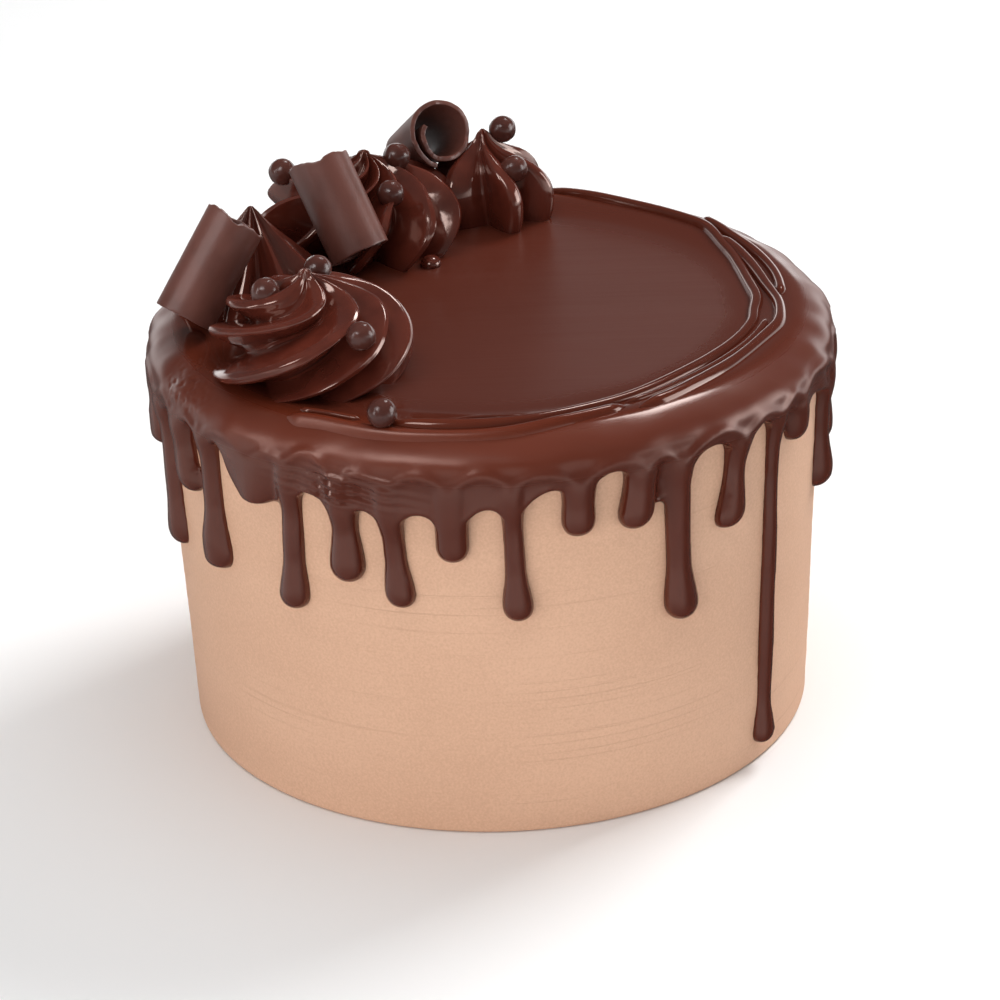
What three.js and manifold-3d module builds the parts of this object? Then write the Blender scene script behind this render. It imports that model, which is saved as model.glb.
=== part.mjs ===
// A six-inch layer cake: smooth mocha buttercream on the sides, a poured chocolate coat that rolls over
// the rim and runs down in drips, and a crescent of piped rosettes on top, dressed with curls and pearls.
// Millimetres, +Z up. The origin is the centre of the underside, and -Y is the front.

import * as THREE from 'three';
import { mergeVertices } from 'three/addons/utils/BufferGeometryUtils.js';
import loadManifold from 'manifold-3d';

// Clearance between neighbouring pieces, and the distance below which two corners are one
const GAP = 0.3;
const SAME_POINT = 1e-4;

// Buttercream body
const FOOT_RADIUS = 82.5;
const SIDE_SLOPE = 0.037; // the side leans out a little as it rises
const BODY_HEIGHT = 106.3;
const SHOULDER_ROUND = 4;
const FOOT_ROUND = 1;
const BODY_SIDES = 72;

// Poured chocolate coat
const POUR_TOP = 109.6;
const POOL_RADIUS = 66; // the level pool ends here, and the border rises to the rim's crest
const CREST_RADIUS = 79;
const CREST_RISE = 1.6;
const RIM_RADIUS = 90;
const RIM_DROP = 7; // the rim has rolled over by this depth below the pool
const RIM_STEPS = 4;
const HEM_ROUND = 1.6;
const HEM_BLEND = 6; // degrees over which the hem passes from one drip's level to the next
const COAT_SIDES = 72;
const COAT_EMBED = 3; // the coat's blank reaches this far into the body, which is then cut out of it
const COAT_CORE = 21; // depth of the blank's underside at the axis, below the top

// Drips that show at the front: angle from the front with right positive, how far the tip and the hem
// beside it hang below the top, and the width of the drop at the tip and of its neck
const FRONT_DRIPS = [
  { angle: -87, drop: 33.5, hem: 15, bulb: 9.4, neck: 7 },
  { angle: -73, drop: 53, hem: 13, bulb: 8.2, neck: 6.4 },
  { angle: -63.5, drop: 30.5, hem: 12, bulb: 8.6, neck: 7 },
  { angle: -55, drop: 48.5, hem: 11, bulb: 9.6, neck: 6.2 },
  { angle: -42.5, drop: 23, hem: 15, bulb: 15, neck: 15 },
  { angle: -35.2, drop: 50.5, hem: 17, bulb: 8, neck: 5.4 },
  { angle: -25.4, drop: 39, hem: 18.5, bulb: 8.6, neck: 6.4 },
  { angle: -17.3, drop: 44.5, hem: 20, bulb: 7.2, neck: 5 },
  { angle: -7.2, drop: 31, hem: 19.5, bulb: 7.8, neck: 6.4 },
  { angle: 2.5, drop: 47.5, hem: 16.5, bulb: 7, neck: 4.8 },
  { angle: 13.4, drop: 26, hem: 11.5, bulb: 8, neck: 7 },
  { angle: 24.2, drop: 26, hem: 9.5, bulb: 8.4, neck: 7 },
  { angle: 30.7, drop: 55, hem: 11.5, bulb: 8.6, neck: 6.2 },
  { angle: 43.6, drop: 34.5, hem: 11, bulb: 8, neck: 6 },
  { angle: 53.7, drop: 104, hem: 10.5, bulb: 6.8, neck: 3.8 },
  { angle: 60.5, drop: 21, hem: 13, bulb: 7.4, neck: 6.6 },
  { angle: 78, drop: 46.5, hem: 16, bulb: 8.8, neck: 5.2 },
  { angle: 89, drop: 40, hem: 16, bulb: 8, neck: 5.8 },
];

// Drips round the back, drawn by a seeded rule within the same range of sizes
const BACK_FROM = 98;
const BACK_TO = 262;
const BACK_PITCH = 10.4;
const BACK_JITTER = 2.6;
const BACK_SEED = 7;
const BACK_DROP = [22, 54];
const BACK_HEM = [10, 20];
const BACK_BULB = [7, 9];
const BACK_NECK_SHARE = 0.72;

// Form that all drips share
const DRIP_DEPTH_SHARE = 0.46; // how far a drip stands out, as a share of its width
const DRIP_DEPTH_MAX = 4.4;
const DRIP_TIP_SHARE = 0.3; // width of the blunt end, as a share of the drop
const DRIP_ROUND_SHARE = 0.4; // height of the ring that rounds the tip, as a share of the half width
const DRIP_TAPER = 3.2; // the drop narrows to its neck this many half widths above the tip
const DRIP_FLARE = 6; // length over which a drip widens into the hem
const DRIP_FLARE_SHARE = 1.1;
const DRIP_ROOT = 4; // how far above the hem a drip starts
const DRIP_LIFT = 0.7; // a drip's root stands off the buttercream by this much, inside the hem
const DRIP_ARC_STEPS = 4;
const DRIP_MIN_STEP = 0.8;

// Two rope-like ridges where the coat was pushed out from the pool: angle from the front, and radius
const RIDGES = [
  {
    width: 4.2,
    height: 2.2,
    run: [[163, 81], [135, 76.5], [110, 70.5], [88, 69.5], [55, 68], [25, 73], [4, 77.5], [-24, 76]],
  },
  {
    width: 4.6,
    height: 2,
    run: [[160, 85.5], [130, 80.5], [105, 76.8], [85, 76.6], [58, 75.2], [30, 79]],
  },
];
const RIDGE_STEPS = 20;
const RIDGE_ARC_STEPS = 3;
const RIDGE_EMBED = 1.2;
const RIDGE_TAPER = 0.12; // share of the run over which each end thins out

// Piped rosettes: the nozzle's six-finned rope, one pitch of its outline as share of pitch and radius
const FINS = 6;
const FIN_OUTLINE = [[0, 1], [0.3, 0.56], [0.7, 0.56]];
const ROSETTE_SINK = 6; // a rosette's blank starts this far below the pool, and is trimmed to the coat
const PEAK_RADIUS = 0.9;

// A swirl is a rope laid round a crown. Each fin rolls from the rope's foot over its top as it goes, and
// runs on as a fin of the crown, which twists up to a peak.
const ROPE_RADIUS = 11.5;
const ROPE_REST = 8.2; // height of the rope's middle above the pool
const ROPE_TURN = 325;
const ROPE_STEPS = 16;
const ROPE_TAIL = 0.8; // share of the run after which the rope thins out
const ROPE_TAIL_SHARE = 0.6;
const SWIRL_RADIUS = 15; // from the peak to the rope's middle
const CROWN_PROFILE = [
  [16, -ROSETTE_SINK],
  [16, 10],
  [15.6, 15],
  [14.2, 19],
  [10.6, 21.6],
  [5.6, 24],
  [2.4, 25.6],
  [PEAK_RADIUS, 27],
];
const CROWN_FIRST = 30; // direction of a crown's fin where it leaves the top of the rope
const CROWN_TWIST = 130;
const SWIRLS = [
  { name: 'rosette_front', at: [-45.4, -36.5], start: 198 },
  { name: 'rosette_middle', at: [-32.4, 48], start: 168 },
];

// A drop star is the rope pulled straight up: a small belly gives a cone, a large one a fat drop
const STAR_STEPS = 7;
const STARS = [
  {
    name: 'rosette_left',
    at: [-61, 8.5],
    radius: 22,
    height: 27,
    lean: 0,
    belly: 1.4,
    turn: 12,
    first: -20,
  },
  {
    name: 'rosette_back',
    at: [2.7, 67],
    radius: 15.5,
    height: 24.5,
    lean: -3,
    belly: 2.4,
    turn: 20,
    first: -52,
  },
];

// Neighbouring rosettes press together: each pair, and the share of the way at which they meet
const ROSETTE_PAIRS = [
  ['rosette_front', 'rosette_left', 0.54],
  ['rosette_left', 'rosette_middle', 0.46],
  ['rosette_middle', 'rosette_back', 0.62],
];
const MEETING_BLOCK = 120; // size of the block that trims a rosette at the meeting plane

// Chocolate curls: a shaved sheet rolled up, lying from its foot to its head
const CURL_SHEET = 1.4;
const CURL_TURNS = 1.3;
const CURL_PITCH = 2.3; // radial step from one layer of the roll to the next
const CURL_STEPS = 22;
const CURL_HULL_SIDES = 20;
const CURLS = [
  {
    name: 'curl_left',
    radius: 8.6,
    foot: [-78, -16, 116.3],
    head: [-64, -1.5, 136.3],
    seam: 200,
    taper: 0,
  },
  {
    name: 'curl_middle',
    radius: 9.1,
    foot: [-33, 19, 118.5],
    head: [-43.5, 29.5, 141],
    seam: 120,
    taper: 0,
  },
  {
    name: 'curl_back',
    radius: 9.4,
    foot: [-22, 80, 127],
    head: [-10.6, 66, 134.5],
    seam: 150,
    taper: 0.25,
  },
];

// Chocolate pearls: the middle of each, with its height above the pool
const PEARL_RADIUS = 3.7;
const PEARL_DETAIL = 1;
const PEARLS = [
  [-31.6, -54.9, 16.2],
  [-55.4, -37.6, 21.6],
  [-43.1, -19, 19.8],
  [-26.6, -76.2, 5],
  [-54.8, 51.7, 20.2],
  [-23.7, 51, 23.8],
  [-25.3, 33.8, 19.6],
  [8, 59.4, 16],
  [5.2, 69.6, 24],
];

// Finishes: colour and roughness
const BUTTERCREAM = [0xdcb08f, 0.62];
const COAT = [0x4a2a24, 0.22];
const PIPED = [0x4b2a25, 0.26];
const CURLED = [0x55362f, 0.42];
const PEARLED = [0x4f3029, 0.34];

const wasm = await loadManifold();
wasm.setup();

const { clamp, degToRad, radToDeg, euclideanModulo, lerp, smoothstep } = THREE.MathUtils;

const sideRadius = (z) => FOOT_RADIUS + SIDE_SLOPE * z;

// A point at an angle from the front, in degrees with right positive
function around(angle, radius, z) {
  const turn = degToRad(angle);
  return new THREE.Vector3(radius * Math.sin(turn), -radius * Math.cos(turn), z);
}

// Repeatable random numbers from 0 to 1
function seededDraw(seed) {
  const modulus = 4294967296;
  let state = seed;
  return () => {
    state = (state * 1664525 + 1013904223) % modulus;
    return state / modulus;
  };
}

// A closed geometry as a solid that can be joined and cut
function solidOf(geometry) {
  const bare = new THREE.BufferGeometry();
  bare.setAttribute('position', geometry.getAttribute('position'));
  bare.setIndex(geometry.getIndex());
  const merged = mergeVertices(bare, SAME_POINT);
  const corners = merged.getIndex().array;
  const triangles = [];
  for (let i = 0; i < corners.length; i += 3) {
    const [a, b, c] = corners.slice(i, i + 3);
    if (a !== b && b !== c && c !== a) {
      triangles.push(a, b, c);
    }
  }
  return new wasm.Manifold(new wasm.Mesh({
    numProp: 3,
    vertProperties: new Float32Array(merged.getAttribute('position').array),
    triVerts: new Uint32Array(triangles),
  }));
}

function geometryOf(solid) {
  const mesh = solid.getMesh();
  const geometry = new THREE.BufferGeometry();
  geometry.setAttribute('position', new THREE.BufferAttribute(mesh.vertProperties, 3));
  geometry.setIndex(new THREE.BufferAttribute(mesh.triVerts, 1));
  geometry.computeVertexNormals();
  return geometry;
}

const joined = (solids) => solids.reduce((sum, solid) => sum.add(solid));
const without = (solid, cutters) => cutters.reduce((rest, cutter) => rest.subtract(cutter), solid);

// The main body of a solid, without the scraps that a cut can leave
function mainBody(solid) {
  return solid.decompose().reduce((best, body) => (body.volume() > best.volume() ? body : best));
}

// A closed skin over a row of rings with equally many points, with a fan over each end. The points of a
// ring run anticlockwise for someone who looks back along the row.
function loft(rings) {
  const count = rings[0].length;
  const points = rings.flat();
  const triangles = [];
  for (let row = 0; row + 1 < rings.length; row += 1) {
    for (let i = 0; i < count; i += 1) {
      const here = row * count + i;
      const next = row * count + ((i + 1) % count);
      triangles.push(here, next, next + count);
      triangles.push(here, next + count, here + count);
    }
  }
  for (const isLast of [false, true]) {
    const start = isLast ? points.length - 1 - count : 0;
    const middle = new THREE.Vector3();
    for (let i = 0; i < count; i += 1) {
      middle.addScaledVector(points[start + i], 1 / count);
    }
    points.push(middle);
    for (let i = 0; i < count; i += 1) {
      const here = start + i;
      const next = start + ((i + 1) % count);
      triangles.push(points.length - 1, isLast ? here : next, isLast ? next : here);
    }
  }
  const geometry = new THREE.BufferGeometry().setFromPoints(points);
  geometry.setIndex(triangles);
  return geometry;
}

// A solid of revolution from a profile of radius and height, from the axis below to the axis above
function turned(profile, sides) {
  const points = profile.map(([radius, z]) => new THREE.Vector2(radius, z));
  return new THREE.LatheGeometry(points, sides).rotateX(Math.PI / 2);
}

// The buttercream body, grown all round by a clearance where it serves as a cutter
function bodyGeometry(grow) {
  const top = BODY_HEIGHT + grow;
  const foot = FOOT_RADIUS + grow;
  const shoulder = sideRadius(BODY_HEIGHT) + grow;
  const shoulderBevel = SHOULDER_ROUND * (1 - Math.SQRT1_2);
  return turned([
    [0, -grow],
    [foot - FOOT_ROUND, -grow],
    [foot, FOOT_ROUND - grow],
    [shoulder, top - SHOULDER_ROUND],
    [shoulder - shoulderBevel, top - shoulderBevel],
    [shoulder - SHOULDER_ROUND, top],
    [0, top],
  ], BODY_SIDES);
}

function allDrips() {
  const draw = seededDraw(BACK_SEED);
  const between = ([low, high]) => lerp(low, high, draw());
  const drips = [...FRONT_DRIPS];
  for (let angle = BACK_FROM; angle <= BACK_TO; angle += BACK_PITCH) {
    const bulb = between(BACK_BULB);
    drips.push({
      angle: angle + BACK_JITTER * (draw() - 0.5),
      drop: between(BACK_DROP),
      hem: between(BACK_HEM),
      bulb,
      neck: bulb * BACK_NECK_SHARE,
    });
  }
  return drips;
}

// How far the hem hangs below the top at an angle, weighted towards the nearest drips
function hemDrop(drips, angle) {
  let weights = 0;
  let total = 0;
  for (const drip of drips) {
    const away = euclideanModulo(drip.angle - angle + 180, 360) - 180;
    const weight = Math.exp(-((away / HEM_BLEND) ** 2));
    weights += weight;
    total += weight * drip.hem;
  }
  return total / weights;
}

// Height of the coat's surface at a radius: a level pool, a low border, then the rim's quarter ellipse
function coatHeight(radius) {
  const border = CREST_RISE * smoothstep(radius, POOL_RADIUS, CREST_RADIUS);
  const over = clamp((radius - CREST_RADIUS) / (RIM_RADIUS - CREST_RADIUS), 0, 1);
  return POUR_TOP + border - (RIM_DROP + CREST_RISE) * (1 - Math.sqrt(1 - over * over));
}

// Pool, rim and hem as one turned blank. Profile points marked as hem are let down to the drips' hem.
function coatBlank(drips, grow) {
  const hemZ = POUR_TOP - RIM_DROP;
  const profile = [
    [0, POUR_TOP - COAT_CORE, 'core'],
    [sideRadius(hemZ) - COAT_EMBED, hemZ, 'hem'],
    [RIM_RADIUS - HEM_ROUND, hemZ, 'hem'],
    [RIM_RADIUS, hemZ + HEM_ROUND, 'hem'],
  ];
  for (let step = 1; step <= RIM_STEPS; step += 1) {
    const turn = (step / RIM_STEPS) * (Math.PI / 2);
    const radius = CREST_RADIUS + (RIM_RADIUS - CREST_RADIUS) * Math.cos(turn);
    profile.push([radius, coatHeight(radius), 'rim']);
  }
  profile.push([POOL_RADIUS, POUR_TOP, 'pool']);
  profile.push([0, POUR_TOP, 'pool']);
  const grown = profile.map(([radius, z]) => [radius > 0 ? radius + grow : 0, z + grow]);
  const geometry = turned(grown, COAT_SIDES);
  const position = geometry.getAttribute('position');
  for (let i = 0; i < position.count; i += 1) {
    if (profile[i % profile.length][2] === 'hem') {
      const angle = radToDeg(Math.atan2(position.getX(i), -position.getY(i)));
      position.setZ(i, position.getZ(i) + RIM_DROP - hemDrop(drips, angle));
    }
  }
  return solidOf(geometry);
}

// Half the width of a drip at a height above its tip: a round drop, a neck, and a flare into the hem
function dripHalfWidth(height, reach, drip) {
  const bulb = drip.bulb / 2;
  const neck = drip.neck / 2;
  const below = Math.min(1, height / bulb);
  const round = lerp(DRIP_TIP_SHARE, 1, Math.sqrt(1 - (1 - below) ** 2));
  const drop = lerp(bulb, neck, smoothstep(height, bulb, DRIP_TAPER * bulb));
  const flare = 1 + DRIP_FLARE_SHARE * smoothstep(height, reach - DRIP_FLARE, reach + DRIP_ROOT);
  return round * drop * flare;
}

// A drip clings to the side: each ring is a half ellipse outwards with a flat back on the buttercream
function dripSolid(drip) {
  const reach = drip.drop - drip.hem;
  const bulb = drip.bulb / 2;
  const tip = [0, DRIP_ROUND_SHARE * bulb, bulb, DRIP_TAPER * bulb];
  const heights = [...tip, reach - DRIP_FLARE, reach, reach + DRIP_ROOT]
    .filter((height) => height >= 0 && height <= reach + DRIP_ROOT)
    .sort((a, b) => a - b)
    .filter((height, i, sorted) => i === 0 || height - sorted[i - 1] > DRIP_MIN_STEP);
  const rings = heights.map((height) => {
    const z = POUR_TOP - drip.drop + height;
    const half = dripHalfWidth(height, reach, drip);
    const lift = GAP + DRIP_LIFT * smoothstep(height, reach - DRIP_FLARE, reach);
    const back = (sideRadius(z) + lift) / Math.cos(half / sideRadius(z));
    const depth = Math.min(DRIP_DEPTH_MAX, 2 * half * DRIP_DEPTH_SHARE);
    const ring = [];
    for (let step = 0; step <= DRIP_ARC_STEPS; step += 1) {
      const turn = (step / DRIP_ARC_STEPS) * Math.PI;
      const across = radToDeg((-half * Math.cos(turn)) / back);
      ring.push(around(drip.angle + across, back + depth * Math.sin(turn), z));
    }
    return ring;
  });
  return solidOf(loft(rings));
}

// A ridge lies along its run like a rope half sunk in the coat, thinning out at both ends
function ridgeSolid(ridge) {
  const run = new THREE.CatmullRomCurve3(ridge.run.map(([angle, radius]) => around(angle, radius, 0)));
  const up = new THREE.Vector3(0, 0, 1);
  const rings = [];
  for (let step = 0; step <= RIDGE_STEPS; step += 1) {
    const share = step / RIDGE_STEPS;
    const middle = run.getPointAt(share);
    const along = run.getTangentAt(share);
    const sideways = along.clone().cross(up);
    const full = smoothstep(Math.min(share, 1 - share), -RIDGE_TAPER, RIDGE_TAPER);
    const ring = [];
    for (let arc = 0; arc <= RIDGE_ARC_STEPS; arc += 1) {
      const turn = (1 - arc / RIDGE_ARC_STEPS) * Math.PI;
      const point = middle.clone().addScaledVector(sideways, (ridge.width / 2) * full * Math.cos(turn));
      point.z = coatHeight(point.length()) - RIDGE_EMBED;
      point.z += (ridge.height * full + RIDGE_EMBED) * Math.sin(turn);
      ring.push(point);
    }
    rings.push(ring);
  }
  return solidOf(loft(rings));
}

// Outline of the finned rope as angle in degrees and share of its radius
function finOutline() {
  const pitch = 360 / FINS;
  const outline = [];
  for (let fin = 0; fin < FINS; fin += 1) {
    FIN_OUTLINE.forEach(([share, radius]) => outline.push([(fin + share) * pitch, radius]));
  }
  return outline;
}

// A ring of the finned outline, lying level round a vertical axis
function levelRing(radius, first, x, z) {
  return finOutline().map(([angle, share]) => {
    const turn = degToRad(first + angle);
    return new THREE.Vector3(x + radius * share * Math.cos(turn), radius * share * Math.sin(turn), z);
  });
}

// Outline of the rope at a direction from the peak, standing across the rope
function ropeRing(direction, radius) {
  const turn = degToRad(direction);
  return finOutline().map(([angle, share]) => {
    const roll = turn - degToRad(angle);
    const away = SWIRL_RADIUS + radius * share * Math.cos(roll);
    const z = ROPE_REST + radius * share * Math.sin(roll);
    return new THREE.Vector3(away * Math.cos(turn), away * Math.sin(turn), z);
  });
}

function swirlSolid(swirl) {
  const ropeRings = [];
  for (let step = 0; step <= ROPE_STEPS; step += 1) {
    const share = step / ROPE_STEPS;
    const radius = ROPE_RADIUS * lerp(1, ROPE_TAIL_SHARE, smoothstep(share, ROPE_TAIL, 1));
    ropeRings.push(ropeRing(swirl.start + ROPE_TURN * share, radius));
  }
  const crownRings = CROWN_PROFILE.map(([radius, z]) => {
    const first = CROWN_FIRST + CROWN_TWIST * (1 - Math.min(1, radius / SWIRL_RADIUS));
    return levelRing(radius, first, 0, z);
  });
  const solid = solidOf(loft(ropeRings)).add(solidOf(loft(crownRings)));
  return solid.translate([...swirl.at, POUR_TOP]);
}

function starSolid(star) {
  const rings = [levelRing(star.radius, star.first, 0, -ROSETTE_SINK)];
  for (let step = 0; step <= STAR_STEPS; step += 1) {
    const share = step / STAR_STEPS;
    const radius = lerp(PEAK_RADIUS, star.radius, 1 - share ** star.belly);
    rings.push(levelRing(radius, star.first + star.turn * share, star.lean * share, star.height * share));
  }
  return solidOf(loft(rings)).translate([...star.at, POUR_TOP]);
}

// A block that takes away all of one rosette beyond the plane where it meets its neighbour
function beyondMeeting(from, to, share) {
  const direction = new THREE.Vector2(to[0] - from[0], to[1] - from[1]);
  const distance = direction.length() * share + GAP / 2 + MEETING_BLOCK / 2;
  direction.normalize();
  const geometry = new THREE.BoxGeometry(MEETING_BLOCK, MEETING_BLOCK, MEETING_BLOCK);
  geometry.rotateZ(direction.angle());
  geometry.translate(from[0] + direction.x * distance, from[1] + direction.y * distance, POUR_TOP);
  return solidOf(geometry);
}

// A rolled sheet: a spiral strip drawn out along its axis, from the foot at the origin upwards
function curlGeometry(curl, length) {
  const outline = [];
  for (const inset of [0, CURL_SHEET]) {
    const edge = [];
    for (let step = 0; step <= CURL_STEPS; step += 1) {
      const turns = (step / CURL_STEPS) * CURL_TURNS;
      const turn = degToRad(curl.seam) + turns * 2 * Math.PI;
      const radius = curl.radius - inset - CURL_PITCH * Math.max(0, turns - (CURL_TURNS - 1) / 2);
      edge.push(new THREE.Vector2(radius * Math.cos(turn), radius * Math.sin(turn)));
    }
    outline.push(...(inset === 0 ? edge : edge.reverse()));
  }
  const strip = new THREE.Shape(outline);
  const geometry = new THREE.ExtrudeGeometry(strip, { depth: length, bevelEnabled: false });
  const position = geometry.getAttribute('position');
  for (let i = 0; i < position.count; i += 1) {
    const narrow = 1 - curl.taper * (1 - position.getZ(i) / length);
    position.setXY(i, position.getX(i) * narrow, position.getY(i) * narrow);
  }
  return geometryOf(solidOf(geometry));
}

function curlMesh(curl) {
  const foot = new THREE.Vector3(...curl.foot);
  const along = new THREE.Vector3(...curl.head).sub(foot);
  const mesh = finished(curl.name, curlGeometry(curl, along.length()), CURLED);
  mesh.position.copy(foot);
  mesh.quaternion.setFromUnitVectors(new THREE.Vector3(0, 0, 1), along.normalize());
  return mesh;
}

// The room that a curl takes up, with clearance
function curlRoom(curl) {
  const foot = new THREE.Vector3(...curl.foot);
  const along = new THREE.Vector3(...curl.head).sub(foot);
  const length = along.length();
  const head = curl.radius + GAP;
  const geometry = new THREE.CylinderGeometry(
    head, head - curl.taper * curl.radius, length + 2 * GAP, CURL_HULL_SIDES);
  geometry.translate(0, length / 2, 0);
  geometry.applyQuaternion(
    new THREE.Quaternion().setFromUnitVectors(new THREE.Vector3(0, 1, 0), along.normalize()));
  return solidOf(geometry.translate(...foot.toArray()));
}

const pearlMiddle = ([x, y, height]) => new THREE.Vector3(x, y, POUR_TOP + height);

function pearlRoom(pearl) {
  const geometry = new THREE.IcosahedronGeometry(PEARL_RADIUS + GAP, PEARL_DETAIL);
  return solidOf(geometry.translate(...pearlMiddle(pearl).toArray()));
}

function finished(name, geometry, [color, roughness]) {
  const mesh = new THREE.Mesh(geometry, new THREE.MeshStandardMaterial({ color, roughness, metalness: 0 }));
  mesh.name = name;
  return mesh;
}

function buildCake() {
  const cake = new THREE.Group();
  cake.add(finished('cake_body', geometryOf(solidOf(bodyGeometry(0))), BUTTERCREAM));

  const drips = allDrips();
  const ridges = RIDGES.map(ridgeSolid);
  const toppingRooms = [...CURLS.map(curlRoom), ...PEARLS.map(pearlRoom)];
  const bodyRoom = solidOf(bodyGeometry(GAP));
  const skin = without(joined([coatBlank(drips, 0), ...ridges]), [bodyRoom, ...toppingRooms]);
  const coat = joined([skin, ...drips.map(dripSolid)]);
  cake.add(finished('ganache', geometryOf(mainBody(coat)), COAT));

  const coatRoom = coatBlank(drips, GAP);
  const rosettes = [...SWIRLS, ...STARS];
  const placeOf = (name) => rosettes.find((rosette) => rosette.name === name).at;
  for (const rosette of rosettes) {
    const blank = SWIRLS.includes(rosette) ? swirlSolid(rosette) : starSolid(rosette);
    const cutters = [coatRoom, ...toppingRooms];
    for (const [first, second, share] of ROSETTE_PAIRS) {
      if (rosette.name === first) {
        cutters.push(beyondMeeting(rosette.at, placeOf(second), share));
      }
      if (rosette.name === second) {
        cutters.push(beyondMeeting(rosette.at, placeOf(first), 1 - share));
      }
    }
    cake.add(finished(rosette.name, geometryOf(mainBody(without(blank, cutters))), PIPED));
  }

  CURLS.forEach((curl) => cake.add(curlMesh(curl)));
  PEARLS.forEach((pearl, i) => {
    const geometry = geometryOf(solidOf(new THREE.IcosahedronGeometry(PEARL_RADIUS, PEARL_DETAIL)));
    const mesh = finished(`pearl_${i + 1}`, geometry, PEARLED);
    mesh.position.copy(pearlMiddle(pearl));
    cake.add(mesh);
  });
  return cake;
}

export default buildCake();
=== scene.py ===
# %% [markdown]
# # A chocolate drip cake
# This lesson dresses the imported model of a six-inch layer cake: smooth mocha buttercream, a poured
# chocolate coat with drips, and a crescent of piped rosettes with curls and pearls. Every piece is modelled
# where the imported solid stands, in metres, with +Z up and the cake's front towards -Y.

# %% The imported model
import math
from collections import namedtuple

import bpy
import numpy as np
from mathutils import Matrix, Vector, noise


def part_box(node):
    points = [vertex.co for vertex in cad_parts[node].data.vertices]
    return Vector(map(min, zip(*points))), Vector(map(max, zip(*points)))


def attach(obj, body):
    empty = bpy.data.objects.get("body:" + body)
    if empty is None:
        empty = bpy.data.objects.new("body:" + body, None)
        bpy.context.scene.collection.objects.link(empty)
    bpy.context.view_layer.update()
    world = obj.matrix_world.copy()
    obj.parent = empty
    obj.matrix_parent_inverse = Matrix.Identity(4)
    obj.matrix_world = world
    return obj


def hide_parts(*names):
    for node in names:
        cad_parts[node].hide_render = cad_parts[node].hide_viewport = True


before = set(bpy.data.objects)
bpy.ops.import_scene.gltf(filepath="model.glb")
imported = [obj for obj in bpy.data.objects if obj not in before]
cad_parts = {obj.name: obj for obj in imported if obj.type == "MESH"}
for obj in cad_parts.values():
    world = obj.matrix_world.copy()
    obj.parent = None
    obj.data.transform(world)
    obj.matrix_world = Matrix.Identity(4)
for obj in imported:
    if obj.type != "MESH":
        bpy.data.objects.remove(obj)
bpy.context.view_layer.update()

MM = 0.001

# %% [markdown]
# ## Working as by hand
# An operator acts on all that is selected, so each piece starts from an empty selection. The helpers below
# keep the steps short: they select a piece, name it, apply a modifier at once, and join, swell or cut
# shapes. One of them fuses a pile of overlapping shapes into a single skin with a voxel remesh, as clay is
# pressed together.

# %% Helpers for modelling
def start_clean():
    """Object mode with nothing selected."""
    if bpy.context.object and bpy.context.object.mode != "OBJECT":
        bpy.ops.object.mode_set(mode="OBJECT")
    bpy.ops.object.select_all(action="DESELECT")


def pick(*pieces):
    """Select these pieces alone, with the first one active."""
    start_clean()
    for piece in pieces:
        piece.select_set(True)
    bpy.context.view_layer.objects.active = pieces[0]


def edit_all(piece):
    """Open the piece in edit mode with all of it selected."""
    pick(piece)
    bpy.ops.object.mode_set(mode="EDIT")
    bpy.ops.mesh.select_all(action="SELECT")


def named(name):
    """Leave edit mode and name the active piece."""
    bpy.ops.object.mode_set(mode="OBJECT")
    piece = bpy.context.object
    piece.name = piece.data.name = name
    return piece


def applied(piece, kind, **settings):
    """Add one modifier and apply it."""
    pick(piece)
    modifier = piece.modifiers.new(kind.lower(), kind)
    for setting, value in settings.items():
        setattr(modifier, setting, value)
    bpy.ops.object.modifier_apply(modifier=modifier.name)


def joined(pieces):
    """One piece from several."""
    pick(*pieces)
    bpy.ops.object.join()
    return bpy.context.object


def fused(piece, voxel):
    """One closed skin over everything in the piece, with cells of the voxel's size."""
    pick(piece)
    piece.data.remesh_voxel_size = voxel
    piece.data.remesh_voxel_adaptivity = 0
    bpy.ops.object.voxel_remesh()


def swollen(piece, distance):
    """Every point moved out along its normal, or in where the distance is negative."""
    edit_all(piece)
    bpy.ops.transform.shrink_fatten(value=distance)
    bpy.ops.object.mode_set(mode="OBJECT")


def cut_by(piece, cutter, operation="DIFFERENCE"):
    """Cut the piece by another, or join them, and remove the other."""
    applied(piece, "BOOLEAN", object=cutter, operation=operation, solver="MANIFOLD")
    bpy.data.objects.remove(cutter)


def triangles(piece):
    return sum(len(face.vertices) - 2 for face in piece.data.polygons)


# %% [markdown]
# ## Drawing and pulling
# Two moves make most of this cake. A line is drawn by extruding one corner from point to point. An outline
# is then pulled through stations: it is extruded, and the new end is moved, turned and resized, which is
# what a piping nozzle or a running drop does. Without a window the rotate operator turns the other way, so
# the angle changes its sign here, and its centre is always given.

# %% Lines and pulled outlines
def draw_line(points):
    """A new mesh of one line through the points, left in edit mode with its last corner selected."""
    start_clean()
    bpy.ops.mesh.primitive_plane_add(size=MM, location=(0, 0, 0))
    bpy.ops.object.mode_set(mode="EDIT")
    bpy.ops.mesh.select_mode(type="VERT")
    bpy.ops.mesh.select_all(action="SELECT")
    bpy.ops.mesh.merge(type="CENTER")
    bpy.ops.transform.translate(value=points[0])
    for here, there in zip(points, points[1:]):
        step = Vector(there) - Vector(here)
        bpy.ops.mesh.extrude_vertices_move(TRANSFORM_OT_translate={"value": step})


def turn_selected(angle, axis, centre):
    bpy.ops.transform.rotate(value=-angle, orient_axis=axis, center_override=centre)


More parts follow.
